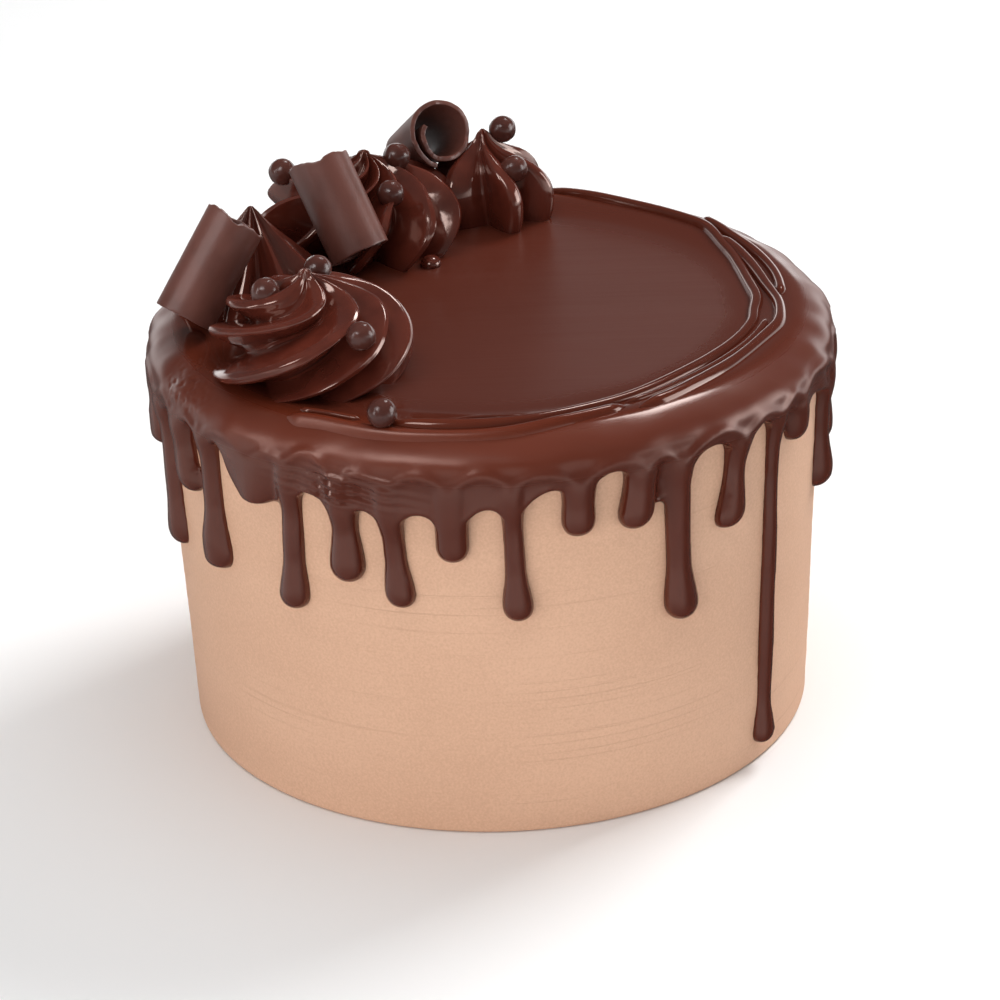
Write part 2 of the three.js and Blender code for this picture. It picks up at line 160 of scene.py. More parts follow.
def pull(stations):
    """Extrude the selected outline through stations of (place, turn about Z, size), from the first on."""
    place, angle, size = stations[0]
    for next_place, next_angle, next_size in stations[1:]:
        step = Vector(next_place) - Vector(place)
        bpy.ops.mesh.extrude_region_move(TRANSFORM_OT_translate={"value": step})
        if next_angle != angle:
            turn_selected(next_angle - angle, "Z", next_place)
        ratio = [new / old for new, old in zip(next_size, size)]
        bpy.ops.transform.resize(value=ratio, center_override=next_place)
        place, angle, size = next_place, next_angle, next_size


def close_ends():
    """Fill the open ends of the tube that is being edited, and point its faces out."""
    bpy.ops.mesh.select_all(action="SELECT")
    bpy.ops.mesh.fill_holes(sides=0)
    bpy.ops.mesh.select_all(action="SELECT")
    bpy.ops.mesh.normals_make_consistent(inside=False)


# %% [markdown]
# ## The camera
# The photograph looks down at the cake by about 26 degrees through a long lens from nearly a metre away,
# and is tilted by two degrees. These values were worked out from the ellipses of the rim and the foot.

# %% Camera
CAMERA_DOWN = math.radians(25.57)
CAMERA_TILT = math.radians(-1.93)
CAMERA_AWAY = 959.4 * MM
CAMERA_TARGET = Vector((1.1 * MM, 0, 53.9 * MM))
SENSOR = 36
LENS = 129.35
NEAREST = 10 * MM

looking = Vector((0, math.cos(CAMERA_DOWN), -math.sin(CAMERA_DOWN)))
aim = Matrix.Rotation(math.pi / 2 - CAMERA_DOWN, 4, "X") @ Matrix.Rotation(CAMERA_TILT, 4, "Z")
start_clean()
bpy.ops.object.camera_add(location=CAMERA_TARGET - CAMERA_AWAY * looking, rotation=aim.to_euler())
camera = bpy.context.object
camera.data.sensor_width = SENSOR
camera.data.lens = LENS
camera.data.clip_start = NEAREST
bpy.context.scene.camera = camera
print("camera at", [round(x, 3) for x in camera.location])

# %% [markdown]
# ## The buttercream
# The sides were smoothed with a scraper while the cake turned, so they are a plain drum that leans out a
# little, with faint level lines. A cylinder is a good start: its top ring is widened and its two edges are
# bevelled. A spun outline would do as well, but takes more steps.

# %% Buttercream drum
DRUM_TOP_RADIUS, _, DRUM_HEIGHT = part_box("cake_body")[1]
FOOT_RADIUS = 82.5 * MM
SHOULDER_ROUND = 4 * MM
FOOT_ROUND = 1.2 * MM
ROUND_STEPS = 5
DRUM_SIDES = 220
HAIR = 0.01 * MM


def side_radius(z):
    return FOOT_RADIUS + (DRUM_TOP_RADIUS - FOOT_RADIUS) * z / DRUM_HEIGHT


def select_level(piece, z):
    """In edit mode, select the corners at one height, and nothing else."""
    bpy.ops.mesh.select_mode(type="VERT")
    bpy.ops.mesh.select_all(action="DESELECT")
    bpy.ops.object.mode_set(mode="OBJECT")
    for vertex in piece.data.vertices:
        vertex.select = abs(vertex.co.z - z) < HAIR
    bpy.ops.object.mode_set(mode="EDIT")


def drum(name, radius, height):
    """A drum that stands at height 0, wider at the top as the cake is, with its two edges rounded."""
    start_clean()
    bpy.ops.mesh.primitive_cylinder_add(
        vertices=DRUM_SIDES, radius=radius, depth=height, location=(0, 0, height / 2), end_fill_type="NGON")
    bpy.ops.object.transform_apply(location=True)
    piece = bpy.context.object
    bpy.ops.object.mode_set(mode="EDIT")
    widen = radius + side_radius(height) - side_radius(0)
    for z, round_off, scale in ((height, SHOULDER_ROUND, widen / radius), (0, FOOT_ROUND, 1)):
        select_level(piece, z)
        bpy.ops.transform.resize(value=(scale, scale, 1), center_override=(0, 0, z))
        bpy.ops.mesh.bevel(offset=round_off, segments=ROUND_STEPS, affect="EDGES")
    return named(name)


buttercream = drum("buttercream", FOOT_RADIUS, DRUM_HEIGHT)
print("drum corners:", len(buttercream.data.vertices))

# %% [markdown]
# The scraper's lines could be drawn in the material alone, but a low light shows that they are real. The
# upright edges of the side are subdivided into many levels, which gives the lines something to move. They
# are low waves that come and go round the cake, with shallow dents between them, and the finest grain is
# left to the material.

# %% Scraped side
SCRAPE_ROWS = 100
SCRAPE_DEPTH = 0.1 * MM
SCRAPE_PITCH = 2.4 * MM
SCRAPE_DRIFT = 1.3
DENT_DEPTH = 3 * SCRAPE_DEPTH
DENT_PITCH = 14 * SCRAPE_PITCH
DENT_DRIFT = 0.8 * SCRAPE_DRIFT
DENT_SEED = Vector((7, 3, 0))

side_low, side_high = 1.5 * FOOT_ROUND, DRUM_HEIGHT - 1.5 * SHOULDER_ROUND
edit_all(buttercream)
bpy.ops.mesh.select_mode(type="EDGE")
bpy.ops.mesh.select_all(action="DESELECT")
bpy.ops.object.mode_set(mode="OBJECT")
for edge in buttercream.data.edges:
    ends = sorted(buttercream.data.vertices[corner].co.z for corner in edge.vertices)
    edge.select = ends[0] < side_low and ends[1] > side_high
bpy.ops.object.mode_set(mode="EDIT")
bpy.ops.mesh.subdivide(number_cuts=SCRAPE_ROWS)
bpy.ops.object.mode_set(mode="OBJECT")


def scrape_wave(place):
    """How far the scraper left the side out or in."""
    level = Vector((place.x, place.y, 0)).normalized()
    line = noise.noise(SCRAPE_DRIFT * level + Vector((0, 0, place.z / SCRAPE_PITCH)))
    dent = noise.noise(DENT_DRIFT * level + DENT_SEED + Vector((0, 0, place.z / DENT_PITCH)))
    return SCRAPE_DEPTH * line + DENT_DEPTH * dent


for vertex in buttercream.data.vertices:
    if FOOT_ROUND < vertex.co.z < DRUM_HEIGHT - SHOULDER_ROUND:
        outward = Vector((vertex.co.x, vertex.co.y, 0)).normalized()
        vertex.co += outward * scrape_wave(vertex.co)
print("buttercream triangles:", triangles(buttercream))

# %% [markdown]
# ## The poured coat
# Warm chocolate was poured on the cake. It lies as a level pool, rolls over the rim and hangs as a hem that
# runs into drips. The drips in front are listed one by one as they hang. Those behind don't show, so a
# seeded rule draws them within the same sizes, and a seed gives the same drips on every run.

# %% Where the drips hang
Drip = namedtuple("Drip", "angle drop hem bulb neck wander")

# Degrees from the front, then millimetres: how far the tip and the hem beside it hang below the top, the
# width of the drop and of its neck, and how far the tip has wandered sideways
FRONT_DRIPS = [
    (-87, 33.5, 15, 9.4, 7, 0),
    (-73, 53, 13, 8.2, 6.4, 0),
    (-63.5, 30.5, 12, 8.6, 7, 2.4),
    (-55, 48.5, 11, 9.6, 6.2, 0),
    (-42.5, 23, 15, 15, 15, 0),
    (-35.2, 50.5, 17, 8, 5.4, -1.6),
    (-25.4, 39, 18.5, 8.6, 6.4, 0),
    (-17.3, 44.5, 20, 7.2, 5, 2),
    (-7.2, 31, 19.5, 7.8, 6.4, 0),
    (2.5, 47.5, 16.5, 7, 4.8, 1.2),
    (13.4, 26, 11.5, 8, 7, 0),
    (24.2, 26, 9.5, 8.4, 7, -2.4),
    (30.7, 55, 11.5, 8.6, 6.2, 2.4),
    (43.6, 34.5, 11, 8, 6, -3.2),
    (53.7, 104, 10.5, 6.8, 4.4, 0),
    (60.5, 21, 13, 7.4, 6.6, 0),
    (78, 46.5, 16, 8.8, 5.2, 1.6),
    (89, 40, 16, 8, 5.8, 0),
]
BACK_SEED = 7
BACK_FROM, BACK_TO, BACK_PITCH, BACK_JITTER = 98, 262, 10.4, 2.6
BACK_DROP, BACK_HEM, BACK_BULB = (22, 54), (10, 20), (7, 9)
BACK_NECK_SHARE = 0.72


def seeded_draw(seed):
    """Repeatable random numbers from 0 to 1."""
    state = seed
    while True:
        state = (state * 1664525 + 1013904223) % 2**32
        yield state / 2**32


def lerp(low, high, share):
    return low + (high - low) * share


def drips_behind():
    draw = seeded_draw(BACK_SEED)
    angle = BACK_FROM
    while angle <= BACK_TO:
        bulb = lerp(*BACK_BULB, next(draw))
        place = angle + BACK_JITTER * (next(draw) - 0.5)
        drop = lerp(*BACK_DROP, next(draw))
        hem = lerp(*BACK_HEM, next(draw))
        yield Drip(place, drop, hem, bulb, BACK_NECK_SHARE * bulb, 0)
        angle += BACK_PITCH


drips = [Drip(*row) for row in FRONT_DRIPS] + list(drips_behind())
print("drips in front:", len(FRONT_DRIPS), "in all:", len(drips))

# %% [markdown]
# Pool, rim and hem are one turned shape, so half its section is enough. The pool is level, a low border
# goes up to a crest, and the rim falls from there as a quarter of a full ellipse.

# %% Section of the coat
POUR_TOP = 109.6 * MM
POOL_RADIUS = 66 * MM
CREST_RADIUS = 79 * MM
CREST_RISE = 1.6 * MM
RIM_RADIUS = 89.6 * MM
RIM_DROP = 7 * MM
RIM_BULGE = 1.4
HEM_ROUND = 1.8 * MM
COAT_EMBED = 3 * MM
COAT_CORE = 21 * MM


def smoothstep(value, low, high):
    share = min(max((value - low) / (high - low), 0), 1)
    return share * share * (3 - 2 * share)


def coat_height(radius):
    """Height of the coat's top at a distance from the axis."""
    border = CREST_RISE * smoothstep(radius, POOL_RADIUS, CREST_RADIUS)
    over = min(max((radius - CREST_RADIUS) / (RIM_RADIUS - CREST_RADIUS), 0), 1)
    return POUR_TOP + border - (RIM_DROP + CREST_RISE) * (1 - math.sqrt(1 - over**RIM_BULGE))


def rim_radius(z):
    """The radius at which the rim has come down to a height."""
    fall = min(max((POUR_TOP + CREST_RISE - z) / (RIM_DROP + CREST_RISE), 0), 1)
    return CREST_RADIUS + (RIM_RADIUS - CREST_RADIUS) * (1 - (1 - fall) ** 2) ** (1 / RIM_BULGE)


def coat_section():
    """Half the section, from the axis below to the axis above."""
    hem = POUR_TOP - RIM_DROP
    points = [(0, POUR_TOP - COAT_CORE), (side_radius(hem) - COAT_EMBED, hem)]
    for turn in np.linspace(-math.pi / 2, 0, 6):
        out, up = HEM_ROUND * math.cos(turn), HEM_ROUND * math.sin(turn)
        points.append((RIM_RADIUS - HEM_ROUND + out, hem + HEM_ROUND + up))
    for turn in np.linspace(0, math.pi / 2, 16)[1:]:
        radius = CREST_RADIUS + (RIM_RADIUS - CREST_RADIUS) * math.cos(turn)
        points.append((radius, coat_height(radius)))
    for radius in np.linspace(CREST_RADIUS, POOL_RADIUS, 12)[1:]:
        points.append((radius, coat_height(radius)))
    points.append((0, POUR_TOP))
    return [Vector((radius, 0, z)) for radius, z in points]


half_section = coat_section()
print("points in half the section:", len(half_section))

# %% [markdown]
# The line is spun round the cake's axis. The hem is then let down to the level that it has beside each
# drip, in a round arch from one drip to the next, and the rim gets a slow unevenness, because nothing
# poured is a true circle.

# %% Turned coat
COAT_STEPS = 240
ARCH_LEAST = 2 * MM
ARCH_MOST = 4.5 * MM
ARCH_RISE = 1.5 * MM
RIM_UNEVEN = 0.7 * MM
RIM_WAVE_SIZE = 14 * MM


def angle_at(place):
    """Degrees from the front, to the right."""
    return math.degrees(math.atan2(place.x, -place.y))


def hem_drop(angle):
    """How far the hem hangs below the top between the drips on either side of an angle."""
    left = min(drips, key=lambda drip: (angle - drip.angle) % 360)
    right = min(drips, key=lambda drip: (drip.angle - angle) % 360)
    span = (right.angle - left.angle) % 360 or 360
    share = (angle - left.angle) % 360 / span
    width = math.radians(span) * RIM_RADIUS
    gap = max(width - (left.neck + right.neck) * MM / 2, ARCH_LEAST)
    off = min(1, abs(share * width - left.neck * MM / 2 - gap / 2) / (gap / 2))
    arch = min(ARCH_MOST, gap / 2) * (1 - math.sqrt(1 - off * off))
    return lerp(left.hem, right.hem, smoothstep(share, 0, 1)) * MM - ARCH_RISE + arch


draw_line(half_section)
bpy.ops.mesh.select_all(action="SELECT")
bpy.ops.mesh.spin(steps=COAT_STEPS, angle=2 * math.pi, center=(0, 0, 0), axis=(0, 0, 1))
bpy.ops.mesh.select_all(action="SELECT")
bpy.ops.mesh.remove_doubles(threshold=HAIR)
bpy.ops.mesh.normals_make_consistent(inside=False)
coat = named("ganache_coat")
hem_top = POUR_TOP - RIM_DROP + 1.01 * HEM_ROUND
for vertex in coat.data.vertices:
    if vertex.co.z < hem_top and vertex.co.xy.length > 0.5 * RIM_RADIUS:
        vertex.co.z += RIM_DROP - hem_drop(angle_at(vertex.co))
for vertex in coat.data.vertices:
    level = Vector((vertex.co.x, vertex.co.y, 0))
    outer = smoothstep(level.length, POOL_RADIUS, RIM_RADIUS)
    vertex.co += level.normalized() * RIM_UNEVEN * outer * noise.noise(level / RIM_WAVE_SIZE)
print("turned coat corners:", len(coat.data.vertices))

# %% [markdown]
# The last of the pour stopped just over the edge and set as a wavy lip, lower where a drip draws it down. A
# torus round the rim, moved up and down, is that lip once it is fused with the rest.

# %% Lip of the pour
LIP_RADIUS = 1.8 * MM
LIP_PROUD = 0.7 * MM
LIP_DROP = 6.5 * MM
LIP_WAVE = 2.6 * MM
LIP_WAVE_SIZE = 16 * MM
LIP_WAVE_SEED = 9
LIP_DRAWN = 3 * MM
LIP_DRAWN_REACH = 2.6

start_clean()
bpy.ops.mesh.primitive_torus_add(
    major_radius=RIM_RADIUS + LIP_PROUD - LIP_RADIUS, minor_radius=LIP_RADIUS, major_segments=360,
    minor_segments=12)
lip = named("lip")
for vertex in lip.data.vertices:
    angle = angle_at(vertex.co)
    nearest = min(abs((drip.angle - angle + 180) % 360 - 180) for drip in drips)
    drawn = math.exp(-((nearest / LIP_DRAWN_REACH) ** 2))
    wave = noise.noise(Vector((vertex.co.x, vertex.co.y, LIP_WAVE_SEED)) / LIP_WAVE_SIZE)
    drop = LIP_DROP + LIP_WAVE * wave + LIP_DRAWN * drawn
    inward = (rim_radius(POUR_TOP - drop) - RIM_RADIUS) / RIM_RADIUS
    vertex.co += Vector((vertex.co.x * inward, vertex.co.y * inward, POUR_TOP - drop))
print("lip corners:", len(lip.data.vertices))

# %% [markdown]
# ## The drips
# A drip is a slim tube that clings to the side, with a round drop at its tip. Each one is pulled from a
# small ring at the tip: the ring is extruded upwards and resized to the drop, the neck, and the flare into
# the hem. It then goes on up over the rim as a low stream, because chocolate flows where it has already
# run.

# %% Shape of a drip
DRIP_RINGS = 28
DRIP_TIP = 0.22
DRIP_TAPER = (0.8, 3.4)
DRIP_DEPTH_SHARE = 0.92
DRIP_DEPTH_MAX = 4.4 * MM
DRIP_CLING = 0.12
DRIP_FLARE = 7 * MM
DRIP_FLARE_SHARE = 0.45
STREAM_FROM = 1.6 * RIM_DROP
STREAM_PROUD = 1.1 * MM
STREAM_SUNK = 1.2 * MM
STREAM_NARROW = 0.3
STREAM_END = 4 * MM


def drip_half_width(height, reach, bulb, neck):
    """Half the width at a height above the tip: a round drop, a neck, and a flare into the hem."""
    below = min(1, height / bulb)
    rounding = lerp(DRIP_TIP, 1, math.sqrt(1 - (1 - below) ** 2))
    taper_from, taper_to = DRIP_TAPER
    drop = lerp(bulb, neck, smoothstep(height, taper_from * bulb, taper_to * bulb))
    flare = 1 + DRIP_FLARE_SHARE * smoothstep(height, reach - DRIP_FLARE, reach + DRIP_FLARE)
    return rounding * drop * flare


def drip_stations(drop, hem, bulb, neck, wander):
    """Place and size of each ring, from the tip to the rim."""
    reach = drop - hem
    full = drop - STREAM_END
    rounded = [bulb * (1 - math.cos(turn)) for turn in np.linspace(0, math.pi / 2, 7)]
    straight = list(np.linspace(rounded[-1], full, DRIP_RINGS))[1:]
    stations = []
    for height in rounded + straight:
        z = POUR_TOP - drop + height
        half = drip_half_width(height, reach, bulb, neck)
        depth = min(DRIP_DEPTH_MAX, DRIP_DEPTH_SHARE * half)
        on_rim = smoothstep(height, reach - DRIP_FLARE, reach + 0.5 * DRIP_FLARE)
        clinging = side_radius(z) + DRIP_CLING * depth
        over = smoothstep(z, POUR_TOP - STREAM_FROM, POUR_TOP - STREAM_END)
        streaming = rim_radius(z) + lerp(STREAM_PROUD, -STREAM_SUNK, over) - depth
        sideways = wander * (1 - height / full) ** 2
        half *= 1 - STREAM_NARROW * over
        stations.append(((sideways, -lerp(clinging, streaming, on_rim), z), 0, (half, depth, 1)))
    return stations


longest = max(drips, key=lambda drip: drip.drop)
print("longest drip:", longest.drop, "mm, at", longest.angle, "degrees")

# %% [markdown]
# A bevelled curve could be a drip too, but a pulled ring has its own width and depth at every station. The
# ring is resized and moved to the tip, pulled through the stations and closed, and the drip is turned round
# the cake's axis to its angle.

# %% Pulled drips
DRIP_SIDES = 20
DRIP_FULL = 1.12


def pulled_drip(drip):
    half_bulb = DRIP_FULL * drip.bulb * MM / 2
    half_neck = DRIP_FULL * drip.neck * MM / 2
    stations = drip_stations(drip.drop * MM, drip.hem * MM, half_bulb, half_neck, drip.wander * MM)
    place, _, size = stations[0]
    start_clean()
    bpy.ops.mesh.primitive_circle_add(vertices=DRIP_SIDES, radius=1, location=(0, 0, 0))
    bpy.ops.object.mode_set(mode="EDIT")
    bpy.ops.transform.resize(value=size)
    bpy.ops.transform.translate(value=place)
    pull(stations)
    close_ends()
    turn_selected(math.radians(drip.angle), "Z", (0, 0, 0))
    return named("drip")


drip_pieces = [pulled_drip(drip) for drip in drips]
print("drips pulled:", len(drip_pieces))

# %% [markdown]
# ## Liquid edges
# Liquid has no inner corners: where two drips part, the hem hangs in a round arch. Hem and drips are fused
# by a voxel remesh, swollen so that narrow corners fill up, fused again and shrunk back, which rounds every
# inner corner and leaves the outer form. A few rounds of smoothing take off the last grid marks.

# %% Fused coat
COAT_VOXEL = 0.6 * MM
CORNER_ROUND = 1.2 * MM
SMOOTH_ROUNDS = 14

coat = joined([coat, lip, *drip_pieces])
fused(coat, COAT_VOXEL)
swollen(coat, CORNER_ROUND)
fused(coat, COAT_VOXEL)
swollen(coat, -CORNER_ROUND)
fused(coat, COAT_VOXEL)
applied(coat, "SMOOTH", factor=0.5, iterations=SMOOTH_ROUNDS)
print("fused coat triangles:", triangles(coat))

# %% [markdown]
# The rim of the real coat is not even: it flowed in slow shapes, has a patch of burst bubbles on the left
# and combed marks in front. A bump in the material would not show at the edge, so the points themselves are
# moved along their normals. Reading and writing them all at once is much faster than one by one.

# %% Relief of the flow
FLOW_RELIEF = 0.5 * MM
FLOW_SIZE = 10 * MM
FLOW_DRAWN_OUT = 0.45
PITS_ANGLE, PITS_RADIUS = math.radians(-62), 84 * MM
PITS_AT = PITS_RADIUS * Vector((math.sin(PITS_ANGLE), -math.cos(PITS_ANGLE)))
PITS_REACH = 8 * MM
PITS_LOW = (100 * MM, 105 * MM)
PIT_DEPTH = 0.9 * MM
PIT_SIZE = 1.6 * MM
MARKS_ANGLE, MARKS_REACH = math.radians(-25), math.radians(9)
MARKS_LOW, MARKS_HIGH = (91 * MM, 95 * MM), (100 * MM, 104 * MM)
MARKS_DEPTH = 0.3 * MM
MARKS_PITCH = 2.4 * MM
MARKS_SLANT = 0.15


def flow_relief(place):
    """How far the chocolate stands out or in at a place."""
    x, y, z = place
    outer = smoothstep(math.hypot(x, y), CREST_RADIUS, RIM_RADIUS)
    if outer == 0:
        return 0
    more_at_sides = 1 + abs(x) / RIM_RADIUS
    flow = FLOW_RELIEF * more_at_sides * noise.noise(Vector((x, y, FLOW_DRAWN_OUT * z)) / FLOW_SIZE)
    bubbly = math.exp(-((Vector((x, y)) - PITS_AT).length / PITS_REACH) ** 2) * smoothstep(z, *PITS_LOW)
    pits = PIT_DEPTH * bubbly * max(0, noise.noise(Vector(place) / PIT_SIZE))
    angle = math.atan2(x, -y)
    combed = math.exp(-(((angle - MARKS_ANGLE) / MARKS_REACH) ** 2))
    combed *= smoothstep(z, *MARKS_LOW) * (1 - smoothstep(z, *MARKS_HIGH))
    level = z + MARKS_SLANT * RIM_RADIUS * angle
    marks = MARKS_DEPTH * combed * math.sin(2 * math.pi * level / MARKS_PITCH)
    return outer * (flow - pits + marks)


places = np.empty(3 * len(coat.data.vertices))
outwards = np.empty(3 * len(coat.data.vertices))
coat.data.vertices.foreach_get("co", places)
coat.data.vertices.foreach_get("normal", outwards)
relief = np.array([flow_relief(place) for place in places.reshape(-1, 3).tolist()])
coat.data.vertices.foreach_set("co", places + outwards * np.repeat(relief, 3))
coat.data.update()
print("relief from", round(relief.min() / MM, 2), "to", round(relief.max() / MM, 2), "mm")

# %% [markdown]
# ## Curves through a few points
# A maker draws a curve by a few marks. Here the straight lines between the marks are cut fine and averaged
# with their neighbours, which rounds the corners, and the curve is then divided into even steps. Ridges and
# rosettes both use this.

# %% Rounded and evenly divided curves
CURVE_FINE = 40


def rounded_curve(rows, reach):
    """Many rows along the lines through a few, with corners rounded over a reach counted in rows."""
    rows = np.array(rows, float)
    fine = np.linspace(0, len(rows) - 1, CURVE_FINE * len(rows))
    columns = np.stack([np.interp(fine, range(len(rows)), column) for column in rows.T])
    width = int(CURVE_FINE * reach)
    padded = np.pad(columns, ((0, 0), (width, width)), mode="reflect", reflect_type="odd")
    window = np.ones(2 * width + 1) / (2 * width + 1)
    return np.stack([np.convolve(column, window, "valid") for column in padded], 1)


def lengths_along(points):
    """How far along a curve each of its points lies."""
    steps = np.linalg.norm(np.diff(points, axis=0), axis=1)
    return np.concatenate([[0], np.cumsum(steps)])


def evenly_divided(rows, lengths, count):
    """Rows at even steps of length."""
    wanted = np.linspace(0, lengths[-1], count)
    return np.stack([np.interp(wanted, lengths, column) for column in rows.T], 1)


# %% [markdown]
# ## Ridges round the pool
# A spatula pushed the chocolate out and left rope-like ridges where the pool ends, some of them side by
# side. Each ridge is one outline pulled along a run of angles and radii, with a little wander in its path
# and size. It is joined to the coat by a boolean, which keeps the crisp foot of the ridge that a remesh
# would round off.

# %% Runs of the ridges
RIDGE_OUTLINE = [(-1.9, -1.6), (-1.75, -0.2), (-1.5, 0.7), (-1.1, 1.3), (-0.6, 1.6), (0, 1.65), (0.6, 1.55),
                 (1.15, 1.2), (1.55, 0.6), (1.85, -0.2), (2.1, -1.6)]
RIDGE_ROUNDING = 0.625
RIDGE_STEP = 1.2 * MM
RIDGE_WANDER, RIDGE_WANDER_LENGTH = 0.35 * MM, 22 * MM
RIDGE_SWELL, RIDGE_SWELL_LENGTH = 0.25, 30 * MM
RIDGE_ENDS = 0.05
RIDGE_SEEDS = 5

# How large the ridge is, then its run in degrees from the front and millimetres from the axis
RIDGES = [
    (1, [(172, 84.5), (160.6, 80), (152, 78.4), (143, 77.6), (135, 77.2), (130, 77.4), (125, 75.2),
         (120, 72.8), (114, 71.4), (106, 69.6), (97, 69), (89, 69.8), (82, 68.5), (77, 69.4), (70, 68.6),
         (62, 67.8), (52, 67.2), (42, 67.6), (32, 69.4), (26, 70.6), (18, 72.4), (9, 75.6), (0, 77.4),
         (-11, 78.4), (-20, 78.4)]),
    (0.85, [(133, 81), (126, 78.6), (121, 77.4), (114, 77.2), (105, 76.8), (96, 76.5), (89, 76)]),
    (1, [(124, 75), (115, 73.9), (107, 72.9), (98, 72.7), (92, 73.5), (86, 74.9), (80, 75.8), (74, 76.6),
         (70, 75.4), (63, 74.3), (51, 74.6), (43, 75.4), (35, 77.3), (27, 79)]),
    (0.6, [(77, 72.8), (69, 72.2), (56, 70.9), (45, 70.8), (36, 72), (26, 74)]),
    (0.95, [(25, 76.2), (17, 77.8), (12, 79), (5, 80.8), (-3, 82), (-13, 82.4), (-20, 82.6), (-26, 82.4),
            (-31, 82), (-37, 83)]),
    (0.55, [(-36, 79.7), (-30, 78.4), (-24, 78.6)]),
    (0.5, [(-12, 76.4), (-7, 73.6), (-3, 71.6), (2, 71.6), (6, 73.6)]),
]
print("ridges:", len(RIDGES), "with marks:", sum(len(run) for _, run in RIDGES))

# %% [markdown]
# The outline stands across the run, so at each step it is turned to the run's own direction. It lies on the
# coat's height there, and it grows out of nothing and ends in nothing, as a smear does.

# %% Pulled ridges
def around(angle, radius, z):
    """A point at an angle in degrees from the front, to the right."""
    turn = math.radians(angle)
    return Vector((radius * math.sin(turn), -radius * math.cos(turn), z))


def ridge_places(run):
    """Even steps along a run of (degrees, millimetres)."""
    points = np.array([around(angle, radius * MM, 0) for angle, radius in rounded_curve(run, RIDGE_ROUNDING)])
    lengths = lengths_along(points)
    count = max(4, int(lengths[-1] / RIDGE_STEP))
    return [Vector(point) for point in evenly_divided(points, lengths, count)]


def ridge_stations(number, scale, run):
    """Place, turn and size of the outline at each step, with small ends."""
    places = ridge_places(run)
    stations = []
    for i, place in enumerate(places):
        along = places[min(i + 1, len(places) - 1)] - places[max(i - 1, 0)]
        share = i / (len(places) - 1)
        ends = math.sqrt(smoothstep(min(share, 1 - share), -0.1 * RIDGE_ENDS, RIDGE_ENDS))
        seed = RIDGE_SEEDS * number
        wander = noise.noise(Vector((i * RIDGE_STEP / RIDGE_WANDER_LENGTH, seed, 0)))
        swell = 1 + RIDGE_SWELL * noise.noise(Vector((i * RIDGE_STEP / RIDGE_SWELL_LENGTH, seed, 3)))
        middle = place + place.normalized() * RIDGE_WANDER * wander
        middle.z = coat_height(middle.length)
        size = scale * ends * swell
        stations.append((middle, math.atan2(along.y, along.x), (size, size, size)))
    return stations


def ridge(number, scale, run):
    stations = ridge_stations(number, scale, run)
    place, angle, size = stations[0]
    draw_line([Vector((0, across * MM, up * MM)) for across, up in RIDGE_OUTLINE])
    bpy.ops.mesh.select_all(action="SELECT")
    bpy.ops.mesh.edge_face_add()
    bpy.ops.mesh.delete(type="ONLY_FACE")
    bpy.ops.mesh.select_all(action="SELECT")
    turn_selected(angle, "Z", (0, 0, 0))
    bpy.ops.transform.resize(value=size, center_override=(0, 0, 0))
    bpy.ops.transform.translate(value=place)
    pull(stations)
    close_ends()
    return named(f"ridge_{number}")


for number, (scale, run) in enumerate(RIDGES):
    cut_by(coat, ridge(number, scale, run), "UNION")
print("coat with ridges, triangles:", triangles(coat))

# %% [markdown]
# ## Coat and drum
# The coat lies on the buttercream, so the drum's room is cut out of it, a hair smaller than the drum so
# that no light shows between them. The level pool needs few faces, and decimating takes them away where the
# surface is flat while the drips keep theirs.

# %% Coat fitted to the drum
CONTACT = 0.1 * MM
COAT_TRIANGLES = 150000

cut_by(coat, drum("drum_room", FOOT_RADIUS - CONTACT, DRUM_HEIGHT - CONTACT))
applied(coat, "DECIMATE", ratio=min(1, COAT_TRIANGLES / triangles(coat)))
print("fitted coat triangles:", triangles(coat))

# %% [markdown]
# ## Piped rosettes
# A star nozzle leaves fins. Led round in a circle and lifted off, it makes a dome whose fins wind up to a
# peak, and pulled straight up it makes a drop star. Both start as the same tower, a ring pulled up through
# many levels. Each level then takes its radius, height and twist from half a section, and the surface sinks
# into a deep groove between two fins. Fins near the start of a swirl lie flatter than the others, so each
# one has its own share of the twist.

# %% Tower
FIN_POINTS = 36
TOWER_LEVELS = 110


def tower(fins):
    """A straight ring tower of radius 1 that counts its levels in its height."""
    start_clean()
    bpy.ops.mesh.primitive_circle_add(vertices=fins * FIN_POINTS, radius=1, location=(0, 0, 0))
    bpy.ops.object.mode_set(mode="EDIT")
    bpy.ops.mesh.select_all(action="SELECT")
    pull([((0, 0, level), 0, (1, 1, 1)) for level in range(TOWER_LEVELS)])
    close_ends()
    return named("piped")


# %% [markdown]
# A star that is extruded and twisted would have all its fins alike, so the fins are worked out point by
# point. Every point of the tower finds the two fins that it lies between, and takes its angle from them and
# its depth from the groove. Low noise along the fins is the brushed look of a nozzle's teeth.

# %% Fins
SECTION_ROUNDING = 0.6
CREST_FLAT = 0.1
CREST_ROUND = 0.06
BRUSHED = 0.5 * MM
BRUSHED_ACROSS, BRUSHED_UP, BRUSHED_SEEDS = 8.5, 1.6, 11
BRUSHED_FULL_RADIUS = 8


def groove_depth(share, blade):
    """From 0 on the crests of two fins to 1 midway: round ropes at blade 0, thin fins at blade 1."""
    off = max(0, (1 - abs(2 * share - 1) - CREST_FLAT) / (1 - CREST_FLAT))
    off = math.sqrt(off * off + CREST_ROUND**2) - CREST_ROUND
    return lerp(smoothstep(off, 0, 1), 1 - (1 - min(1, off)) ** 2, blade)


